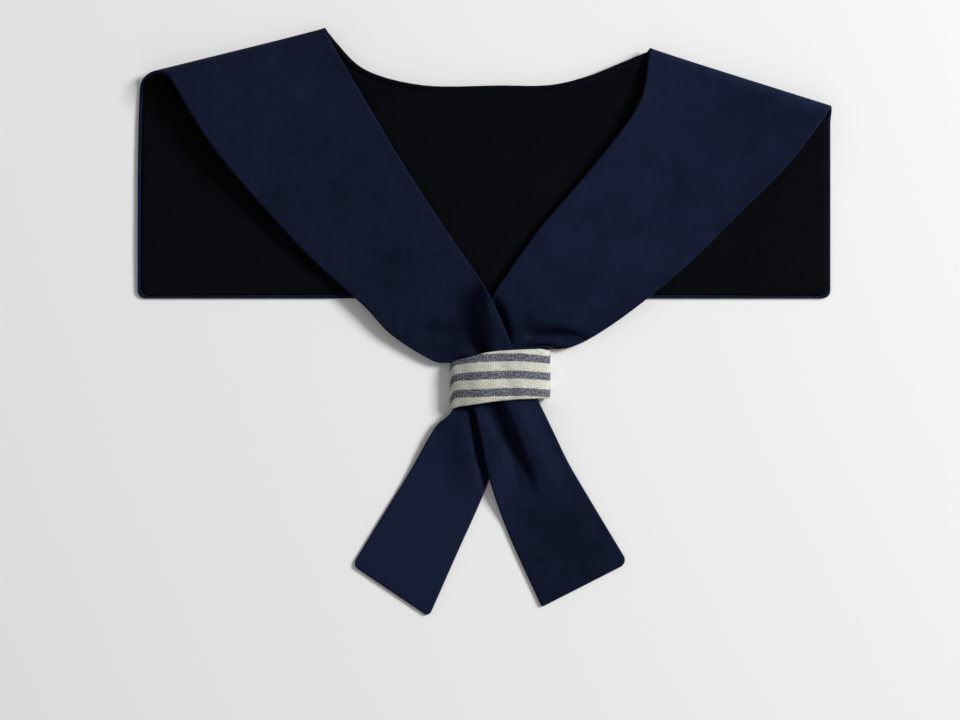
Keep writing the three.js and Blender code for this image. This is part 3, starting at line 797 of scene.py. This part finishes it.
def mesh_object(name, points, faces, cloth, fade=None):
    """A smooth-shaded mesh from points in millimetres; cloth gives each point its place on it."""
    mesh = bpy.data.meshes.new(name)
    where = (np.asarray(points, float) + SHIFT) * MM
    mesh.from_pydata(where.tolist(), [], facing_out(points, faces))
    mesh.validate()
    layer = mesh.uv_layers.new(name="cloth")
    corner_points = np.empty(len(mesh.loops), int)
    mesh.loops.foreach_get("vertex_index", corner_points)
    places = np.asarray(cloth)[corner_points] * UV_SCALE
    layer.uv.foreach_set("vector", places.astype(np.float32).ravel())
    # the point attribute carries the navy's tone patches and its painted shade along folds
    if fade is not None:
        attribute = mesh.attributes.new("fade", "FLOAT", "POINT")
        attribute.data.foreach_set("value", fade.astype(np.float32))
    mesh.shade_smooth()
    piece = bpy.data.objects.new(name, mesh)
    bpy.context.scene.collection.objects.link(piece)
    return piece


def facing_out(points, faces):
    """The faces of a closed surface, turned round if they faced inwards."""
    points = np.asarray(points)
    volume = 0.0
    for face in faces:
        a = points[face[0]]
        for b, c in zip(face[1:-1], face[2:]):
            volume += a @ np.cross(points[b], points[c])
    return faces if volume > 0 else [face[::-1] for face in faces]


def pillow(top, bottom, closed=False):
    """Two grids that share their outer columns, and their outer rows too unless they are closed."""
    rows, columns = top.shape[:2]
    inside = (slice(None) if closed else slice(1, -1), slice(1, -1))
    top_id = np.arange(rows * columns).reshape(rows, columns)
    bottom_id = top_id.copy()
    bottom_id[inside] = rows * columns + np.arange(top_id[inside].size).reshape(top_id[inside].shape)
    points = np.concatenate([top.reshape(-1, 3), bottom[inside].reshape(-1, 3)])
    if closed:
        top_id, bottom_id = (np.concatenate([ids, ids[:1]]) for ids in (top_id, bottom_id))
    return points, grid_faces(top_id) + grid_faces(bottom_id[:, ::-1])


def grid_faces(ids):
    a, b, c, d = ids[:-1, :-1], ids[1:, :-1], ids[1:, 1:], ids[:-1, 1:]
    return np.stack([a, b, c, d], -1).reshape(-1, 4).tolist()


def slab(top, bottom):
    """Two grids joined by walls along their four sides."""
    rows, columns = top.shape[:2]
    top_id = np.arange(rows * columns).reshape(rows, columns)
    bottom_id = top_id + rows * columns
    faces = grid_faces(top_id) + grid_faces(bottom_id[:, ::-1])
    for line_top, line_bottom in (
        (top_id[:, 0], bottom_id[:, 0]),
        (top_id[::-1, -1], bottom_id[::-1, -1]),
        (top_id[-1, :], bottom_id[-1, :]),
        (top_id[0, ::-1], bottom_id[0, ::-1]),
    ):
        ring = [line_bottom[:-1], line_bottom[1:], line_top[1:], line_top[:-1]]
        faces += np.stack(ring, -1).tolist()
    return np.concatenate([top.reshape(-1, 3), bottom.reshape(-1, 3)]), faces


def upper_cloth(collar):
    thickness = edge_thickness(collar.edge)
    under = np.where(collar.edge < LIP - SLACK, -thickness, LAYER_SLIT)
    top = collar.points + collar.normals * thickness[..., None]
    bottom = collar.points + collar.normals * under[..., None]
    points, faces = pillow(top, bottom)
    inner = collar.cloth[1:-1, 1:-1].reshape(-1, 2)
    cloth = np.concatenate([collar.cloth.reshape(-1, 2), inner])
    fade = np.concatenate([collar.fade.ravel(), collar.fade[1:-1, 1:-1].ravel()])
    return mesh_object("upper_collar_cloth", points, faces, cloth, fade)


def under_cloth(collar):
    skip = int(np.sum(EDGE_DISTANCES < LIP - SLACK))
    part = (slice(skip, -skip), slice(skip, -skip))
    points, normals = collar.points[part], collar.normals[part]
    deep = np.interp(collar.edge[part], *np.transpose(TURNED_DEPTH))
    top = points - normals * LAYER_SLIT
    bottom = points - normals * deep[..., None]
    joined, faces = slab(top, bottom)
    cloth = np.tile(collar.cloth[part].reshape(-1, 2), (2, 1))
    return mesh_object("under_collar_cloth", joined, faces, cloth)


# Neck binding
BINDING_GAP = 0.05  # between it and the collar's faces
BINDING_WALL = 0.32
BINDING_DEPTH = 1.1  # how far in over the collar's edge it reaches
BINDING_ROUND = (0.8, -0.1)  # reach of its rounded edge, and where that starts
BINDING_TAPER = 16  # rows over which it thins out towards its ends
BINDING_LEAST = (0.02, 0.3)  # what is left there of its wall, and of the share of its reach
BINDING_WAVES = [(1.3, 0.05), (2.9, 0.04)]  # turn for each millimetre, share of its depth
BINDING_COLUMN = 3  # of the collar's points, whose normals it follows
SECTION_STEP = 0.5  # on its cloth, between two points of its section


def binding_section():
    """Section of the strip: place inwards from the collar's edge, and up from its middle."""
    inside, outside = HALF + BINDING_GAP, HALF + BINDING_GAP + BINDING_WALL
    reach, start = BINDING_ROUND
    leg = [(0.0, inside + 0.05), (-0.1, outside - 0.1), (-0.5, outside)]
    turns = np.linspace(math.pi / 2, 3 * math.pi / 2, 11)
    upper = [(BINDING_DEPTH + a, b) for a, b in leg]
    edge = [(reach * math.cos(t) + start, outside * math.sin(t)) for t in turns]
    lower = [(BINDING_DEPTH + a, -b) for a, b in leg[::-1]]
    return upper + edge + lower + [(-0.05, -inside), (-0.25, 0.0), (-0.05, inside)]


def neck_binding(collar):
    """A narrow strip folded over the flap's neck edge, up to the tops of the shoulder folds."""
    first, last = collar.flap_rows[0] - FOLD_STEPS // 2, collar.flap_rows[1] + FOLD_STEPS // 2
    shape = binding_section()
    least_wall, least_reach = BINDING_LEAST
    points, cloth = [], []
    run = 0.0
    for r in range(first, last + 1):
        edge = collar.points[r, 0]
        far = collar.points[r, int(np.searchsorted(collar.distance[r], BINDING_DEPTH))]
        inward = far - edge
        inward /= np.linalg.norm(inward)
        normal = collar.normals[r, BINDING_COLUMN]
        normal = normal - inward * (normal @ inward)
        normal /= np.linalg.norm(normal)
        run += np.linalg.norm(edge - collar.points[max(r - 1, first), 0])
        wave = sum((share * math.sin(run * turn) for turn, share in BINDING_WAVES), 1)
        full = smooth(min(r - first, last - r) / BINDING_TAPER)
        most = HALF + BINDING_GAP + least_wall + (BINDING_WALL - least_wall) * full
        for k, (a, b) in enumerate(shape):
            a *= wave if a > BINDING_DEPTH / 2 else 1
            a *= 1 if a > 0 else least_reach + (1 - least_reach) * full
            points.append(edge + inward * a + normal * np.clip(b, -most, most))
            cloth.append((run, k * SECTION_STEP))
    ids = np.arange(len(points)).reshape(-1, len(shape))
    ring = np.concatenate([ids, ids[:, :1]], 1)
    faces = grid_faces(ring) + [ids[0].tolist(), ids[-1][::-1].tolist()]
    return mesh_object("neck_binding_strip", points, faces, cloth)


# Keeper loop
LOOP_BACK = 0.5  # height of the middle of its back wall
LOOP_FRONT = 9.5
LOOP_FALL = (5.0, 2.6)  # how much lower its front is at its left and right end than in the middle
LOOP_FALL_BEND = 2.2
LOOP_LOW_RADIUS, LOOP_END_RADIUS = 1.9, 2.2  # of its ends, at the back and at the front
LOOP_END_REACH = 0.3  # how far its front runs on over the curves at its ends
LOOP_END_TURNS = (math.radians(75), math.radians(115))  # where these meet it, right and left
LOOP_ROWS, LOOP_FRONT_POINTS, LOOP_CURVE_POINTS = 150, 61, 9
LOOP_ROUNDINGS = 9  # times that its path is smoothed
LOOP_EDGE_DISTANCES = np.array([0.0, 0.08, 0.25, 0.5, 0.9, 1.5, 2.4])
LOOP_INSIDE, LOOP_INSIDE_COLUMNS = 3.4, 17
LOOP_ROUND = 0.5  # how far in from its edges it reaches its full thickness
LOOP_DIP = 0.45  # how far its front is drawn in at its edges
# Bulges between the ridges below it, and the groove: place across, lean, width, height
LOOP_SWELLS = [(-8, 0, 5, 0.35), (9, 0, 5, 0.3), (1.5, -0.35, 3.0, -0.35)]
LOOP_WRINKLES = [(0.9, 0.35, 0.06), (0.43, -0.8, 0.05)]  # turn across, turn up, height

# Share of the half width, and the heights of the upper and lower edges over the loop's middle
LOOP_EDGE_ROWS = [
    (-1.0, 5.2, -11.1),
    (-0.93, 7.1, -10.7),
    (-0.8, 7.9, -10.0),
    (-0.5, 9.35, -9.2),
    (-0.3, 10.45, -8.6),
    (0.0, 11.2, -7.8),
    (0.4, 11.6, -7.2),
    (0.8, 11.9, -7.0),
    (1.0, 11.3, -7.2),
]
# Share of the half width, height of the middle stripe over the loop's middle, and the pitch there
STRIPE_ROWS = [
    (-1.0, 0.4, 6.15),
    (-0.8, 1.15, 6.25),
    (-0.4, 1.75, 6.65),
    (0.0, 2.05, 6.55),
    (0.4, 2.15, 6.55),
    (0.8, 1.6, 6.42),
    (1.0, 1.2, 6.4),
]
STRIPE_PITCH = 6.6
STRIPE_WIDTH = 3.05
FIRST_STRIPE = 2.05  # middle of the first dark stripe, below the loop's upper edge


def loop_path():
    """The middle of the loop's cloth round the tails: place across, height and length run."""
    half = LOOP_WIDTH / 2 - LOOP_CLOTH / 2
    low, high = LOOP_LOW_RADIUS, LOOP_END_RADIUS
    right_turn, left_turn = LOOP_END_TURNS

    def front(x):
        return LOOP_FRONT - np.where(x < 0, *LOOP_FALL) * np.abs(x / half) ** LOOP_FALL_BEND

    def arc(x, z, radius, start, end):
        turns = np.linspace(start, end, LOOP_CURVE_POINTS)
        return np.stack([x + radius * np.cos(turns), z + radius * np.sin(turns)], 1)

    top = half - high + LOOP_END_REACH
    xs = np.linspace(top, -top, LOOP_FRONT_POINTS)
    start = np.array([[0.0, LOOP_BACK]])
    line = np.concatenate([
        start,
        arc(half - low, LOOP_BACK + low, low, -math.pi / 2, 0),
        arc(half - high, front(top) - high, high, 0, right_turn),
        np.stack([xs, front(xs)], 1)[1:-1],
        arc(high - half, front(-top) - high, high, left_turn, math.pi),
        arc(low - half, LOOP_BACK + low, low, math.pi, 3 * math.pi / 2),
        start,
    ])
    path, run = (values[:-1] for values in evenly(line, LOOP_ROWS + 1))
    for _ in range(LOOP_ROUNDINGS):
        path = 0.5 * path + 0.25 * (np.roll(path, 1, 0) + np.roll(path, -1, 0))
    return path, run


def by_share(rows, share):
    """A table's columns at shares of the loop's half width, each as a column."""
    shares, *columns = np.array(rows).T
    return [np.interp(share, shares, column)[:, None] for column in columns]


def loop_relief(x, across):
    """How far the loop's front stands out: drawn in at its edges, with bulges and wrinkles."""
    half = LOOP_HEIGHT / 2
    up = across - half
    dip = -LOOP_DIP * (np.abs(up) / half) ** 3
    swell = sum(h * np.exp(-((x - at - lean * up) / w) ** 2) for at, lean, w, h in LOOP_SWELLS)
    wrinkle = sum(h * np.sin(x * side_turn + across * up_turn) for side_turn, up_turn, h in LOOP_WRINKLES)
    return dip + swell + wrinkle


def keeper_loop():
    path, run = loop_path()
    tangent = np.roll(path, -1, 0) - np.roll(path, 1, 0)
    tangent /= np.linalg.norm(tangent, axis=1)[:, None]
    normal = np.stack([tangent[:, 1], -tangent[:, 0]], 1)
    edge = LOOP_EDGE_DISTANCES
    middle = np.linspace(LOOP_INSIDE, LOOP_HEIGHT - LOOP_INSIDE, LOOP_INSIDE_COLUMNS)
    across = np.concatenate([edge, middle, LOOP_HEIGHT - edge[::-1]])
    from_edge = np.minimum(across, LOOP_HEIGHT - across)
    thickness = LOOP_CLOTH / 2 * np.sqrt(1 - np.clip(1 - from_edge / LOOP_ROUND, 0, 1) ** 2)
    front = ramp(path[:, 1:], *LOOP_FRONT_FROM)
    relief = front * loop_relief(path[:, :1], across)
    share = path[:, 0] / (LOOP_WIDTH / 2)
    upper, lower = by_share(LOOP_EDGE_ROWS, share)
    height = lower + (upper - lower) * across / LOOP_HEIGHT
    walls = []
    for out in (relief + thickness, relief - thickness):
        spot = path[:, None] + normal[:, None] * out[..., None]
        x, y, z = LOOP_MIDDLE[0] + spot[..., 0], LOOP_MIDDLE[1] + height, spot[..., 1]
        walls.append(np.stack([x, y, z], -1))
    points, faces = pillow(*walls, closed=True)
    stripe, pitch = by_share(STRIPE_ROWS, share)
    seen = FIRST_STRIPE + STRIPE_PITCH + (stripe - height) * STRIPE_PITCH / pitch
    plain = LOOP_HEIGHT - across
    place_across = plain + (seen - plain) * front
    cloth = np.stack([np.repeat(run[:, None], len(across), 1), place_across], -1)
    cloth = np.concatenate([cloth.reshape(-1, 2), cloth[:, 1:-1].reshape(-1, 2)])
    return mesh_object("keeper_loop_band", points, faces, cloth)


# Materials
class Nodes:
    """Short ways to add and join the nodes of one material."""

    def __init__(self, name):
        self.material = bpy.data.materials.new(name)
        self.material.use_nodes = True
        self.tree = self.material.node_tree
        self.shader = self.tree.nodes["Principled BSDF"]

    def fill(self, node, values):
        """Set a node's inputs, or join them where the value is another node's output."""
        for key, value in values.items():
            if isinstance(value, bpy.types.NodeSocket):
                self.tree.links.new(value, node.inputs[key])
            else:
                node.inputs[key].default_value = value

    def add(self, kind, values, **settings):
        node = self.tree.nodes.new(kind)
        for key, value in settings.items():
            setattr(node, key, value)
        self.fill(node, values)
        return node

    def math(self, operation, a, b=0.0, clamp=False):
        node = self.add("ShaderNodeMath", {0: a, 1: b}, operation=operation, use_clamp=clamp)
        return node.outputs[0]

    def total(self, *parts):
        """The sum of outputs, each multiplied by its share."""
        outputs = [self.math("MULTIPLY", output, share) for output, share in parts]
        whole = outputs[0]
        for output in outputs[1:]:
            whole = self.math("ADD", whole, output)
        return whole

    def between(self, value, low, high):
        """0 where a value is below low, and 1 where it is above high."""
        limits = {"Value": value, "From Min": low, "From Max": high}
        return self.add("ShaderNodeMapRange", limits, clamp=True).outputs[0]

    def mix(self, share, a, b):
        return self.add("ShaderNodeMix", {0: share, 6: a, 7: b}, data_type="RGBA").outputs[2]

    def cloth_place(self, stretch=(1, 1)):
        """Place on the cloth in millimetres, each way stretched by a factor."""
        place = self.add("ShaderNodeUVMap", {}, uv_map="cloth").outputs[0]
        scale = (stretch[0] / UV_SCALE, stretch[1] / UV_SCALE, 1)
        return self.add("ShaderNodeMapping", {"Vector": place, "Scale": scale}).outputs[0]

    def noise(self, stretch, detail, rough):
        place = self.cloth_place(stretch)
        values = {"Vector": place, "Scale": 1.0, "Detail": detail, "Roughness": rough}
        return self.add("ShaderNodeTexNoise", values).outputs["Fac"]

    def weave(self, scale, distortion):
        """Crossing threads, each way."""
        place = self.cloth_place()
        values = {"Vector": place, "Scale": scale, "Distortion": distortion, "Detail": 1.0}
        waves = [self.add("ShaderNodeTexWave", values, bands_direction=way) for way in "XY"]
        return self.math("ADD", *(wave.outputs["Fac"] for wave in waves))

    def relief(self, height, strength, distance):
        values = {"Height": height, "Strength": strength, "Distance": distance}
        return self.add("ShaderNodeBump", values).outputs[0]


def navy_cloth(name, dark, light, sheen=0.03):
    """Plain-weave navy cotton: fine crossing threads, slubs, faint wear, painted shade along the folds,
    and a soft sheen.
    """
    n = Nodes(name)
    warp = n.noise((3.6, 0.28), 3, 0.6)
    weft = n.noise((0.28, 3.6), 3, 0.6)
    broad = n.noise((0.045, 0.045), 3, 0.55)
    patchy = n.noise((0.17, 0.14), 2, 0.6)
    threads = n.total((warp, 0.5), (weft, 0.5))
    tone = n.total((threads, 0.85), (broad, 0.55), (patchy, 0.3))
    # painted shade: this point attribute darkens the navy along folds, besides paler and darker patches
    fade = n.add("ShaderNodeAttribute", {}, attribute_name="fade").outputs["Fac"]
    share = n.math("ADD", n.between(tone, 0.62, 1.08), fade, clamp=True)
    height = n.total((n.weave(0.62, 0.6), 0.25), (threads, 1.0))
    n.fill(n.shader, {
        "Base Color": n.mix(share, dark, light),
        "Normal": n.relief(height, 0.5, 0.00012),
        "Roughness": 0.78,
        "Specular IOR Level": 0.05,
        "Sheen Weight": sheen,
        "Sheen Roughness": 0.45,
        "Sheen Tint": (0.55, 0.66, 1.0, 1),
    })
    return n.material


def striped_cloth(name):
    """Slubbed cream cotton with marled blue-grey stripes along the band."""
    n = Nodes(name)
    height = n.add("ShaderNodeSeparateXYZ", {0: n.cloth_place()}).outputs[1]
    wobble = n.math("SUBTRACT", n.noise((0.35, 1.4), 2, 0.5), 0.5)
    height = n.total((wobble, 0.55), (height, 1.0))
    turn = n.math("MULTIPLY", n.math("SUBTRACT", height, FIRST_STRIPE), 2 * math.pi / STRIPE_PITCH)
    edge, blur = math.cos(math.pi * STRIPE_WIDTH / STRIPE_PITCH), 0.16
    stripe = n.between(n.math("COSINE", turn), edge - blur, edge + blur)
    warp = n.noise((2.3, 1.1), 2, 0.6)
    weft = n.noise((0.35, 2.0), 3, 0.6)
    speck = n.noise((1.7, 1.6), 2, 0.7)
    marl = n.between(n.total((warp, 0.55), (speck, 0.45)), 0.4, 0.6)
    blue = n.mix(marl, (0.010, 0.010, 0.022, 1), (0.245, 0.238, 0.285, 1))
    slub = n.between(n.total((weft, 0.7), (warp, 0.3)), 0.3, 0.72)
    cream = n.mix(slub, (0.40, 0.40, 0.335, 1), (0.72, 0.72, 0.65, 1))
    height = n.total((n.weave(0.5, 1.5), 0.4), (warp, 1.0), (weft, 1.0))
    n.fill(n.shader, {
        "Base Color": n.mix(stripe, cream, blue),
        "Normal": n.relief(height, 0.6, 0.0002),
        "Roughness": 0.88,
        "Specular IOR Level": 0.1,
        "Sheen Weight": 0.05,
    })
    return n.material


def cover(piece, node, slot, material):
    """Give a piece its material and its place in the CAD model."""
    piece.data.materials.append(material)
    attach(piece, "root")
    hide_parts(node)


# Stage
FLOOR_REACH = 3.0
FLOOR_DROP = 0.00005
WORLD_STRENGTH = 0.34
CAMERA_DISTANCE = 1.7
SENSOR_WIDTH = 36
FACE_HEIGHT = 0.004  # where the scale of the photograph is met

# The photograph: its width in pixels and in millimetres, its middle, and the working plane's zero
PHOTO_WIDTH, PHOTO_WIDTH_MM = 960, 364.8
PHOTO_MIDDLE = np.array([480.0, 360.0])
PHOTO_ZERO = np.array([484.0, 29.87])


def plain_floor():
    n = Nodes("pale_floor")
    n.fill(n.shader, {"Base Color": (0.84, 0.84, 0.84, 1), "Roughness": 0.9})
    mesh = bpy.data.meshes.new("floor")
    corners = [(x * FLOOR_REACH, y * FLOOR_REACH, 0) for x, y in ((-1, -1), (1, -1), (1, 1), (-1, 1))]
    mesh.from_pydata(corners, [], [(0, 1, 2, 3)])
    mesh.materials.append(n.material)
    floor = bpy.data.objects.new("floor", mesh)
    floor.location.z = -FLOOR_DROP
    bpy.context.scene.collection.objects.link(floor)


def area_light(name, power, size, place):
    """A square light that shines at the middle of the collar."""
    data = bpy.data.lights.new(name, "AREA")
    data.energy, data.size = power, size
    light = bpy.data.objects.new(name, data)
    light.location = place
    light.rotation_euler = (-Vector(place)).to_track_quat("-Z", "Y").to_euler()
    bpy.context.scene.collection.objects.link(light)


def light_and_camera():
    scene = bpy.context.scene
    world = bpy.data.worlds.new("soft_studio")
    world.use_nodes = True
    background = world.node_tree.nodes["Background"]
    background.inputs["Color"].default_value = (1, 1, 1, 1)
    background.inputs["Strength"].default_value = WORLD_STRENGTH
    scene.world = world
    scene.view_settings.view_transform = "Standard"
    area_light("key", power=60, size=0.7, place=(1.75, 0.75, 1.35))
    camera_data = bpy.data.cameras.new("camera")
    camera = bpy.data.objects.new("camera", camera_data)
    across, down = (PHOTO_MIDDLE - PHOTO_ZERO) * PHOTO_WIDTH_MM / PHOTO_WIDTH
    middle = (np.array([across, -down, 0.0]) + SHIFT) * MM
    camera.location = (middle[0], middle[1], CAMERA_DISTANCE)
    camera_data.sensor_width = SENSOR_WIDTH
    camera_data.lens = SENSOR_WIDTH * (CAMERA_DISTANCE - FACE_HEIGHT) / (PHOTO_WIDTH_MM * MM)
    camera_data.clip_end = 20
    scene.collection.objects.link(camera)
    scene.camera = camera


light_and_camera()
plain_floor()
collar = Collar()
face = navy_cloth("navy_face", (0.0028, 0.0048, 0.0158, 1), (0.0069, 0.0114, 0.0340, 1))
# The under collar is a darker copy of the face's navy: painted shade for where it lies in shadow inside
# the shoulder folds and in the V.
shaded_facing = navy_cloth("navy_facing", (0.0008, 0.0010, 0.0021, 1), (0.0018, 0.0021, 0.0040, 1), 0.01)
# The neck binding is a still darker copy of the navy: painted shade for the dark line at the back of the
# neck.
binding = navy_cloth("navy_binding", (0.0007, 0.0009, 0.0020, 1), (0.0016, 0.0020, 0.0042, 1), 0.02)

upper = upper_cloth(collar)
cover(upper, "upper_collar", "navy_face", face)
under = under_cloth(collar)
cover(under, "under_collar", "navy_facing", shaded_facing)
strip = neck_binding(collar)
cover(strip, "neck_binding", "navy_binding", binding)
loop = keeper_loop()
cover(loop, "keeper_loop", "striped_cloth", striped_cloth("striped_cloth"))
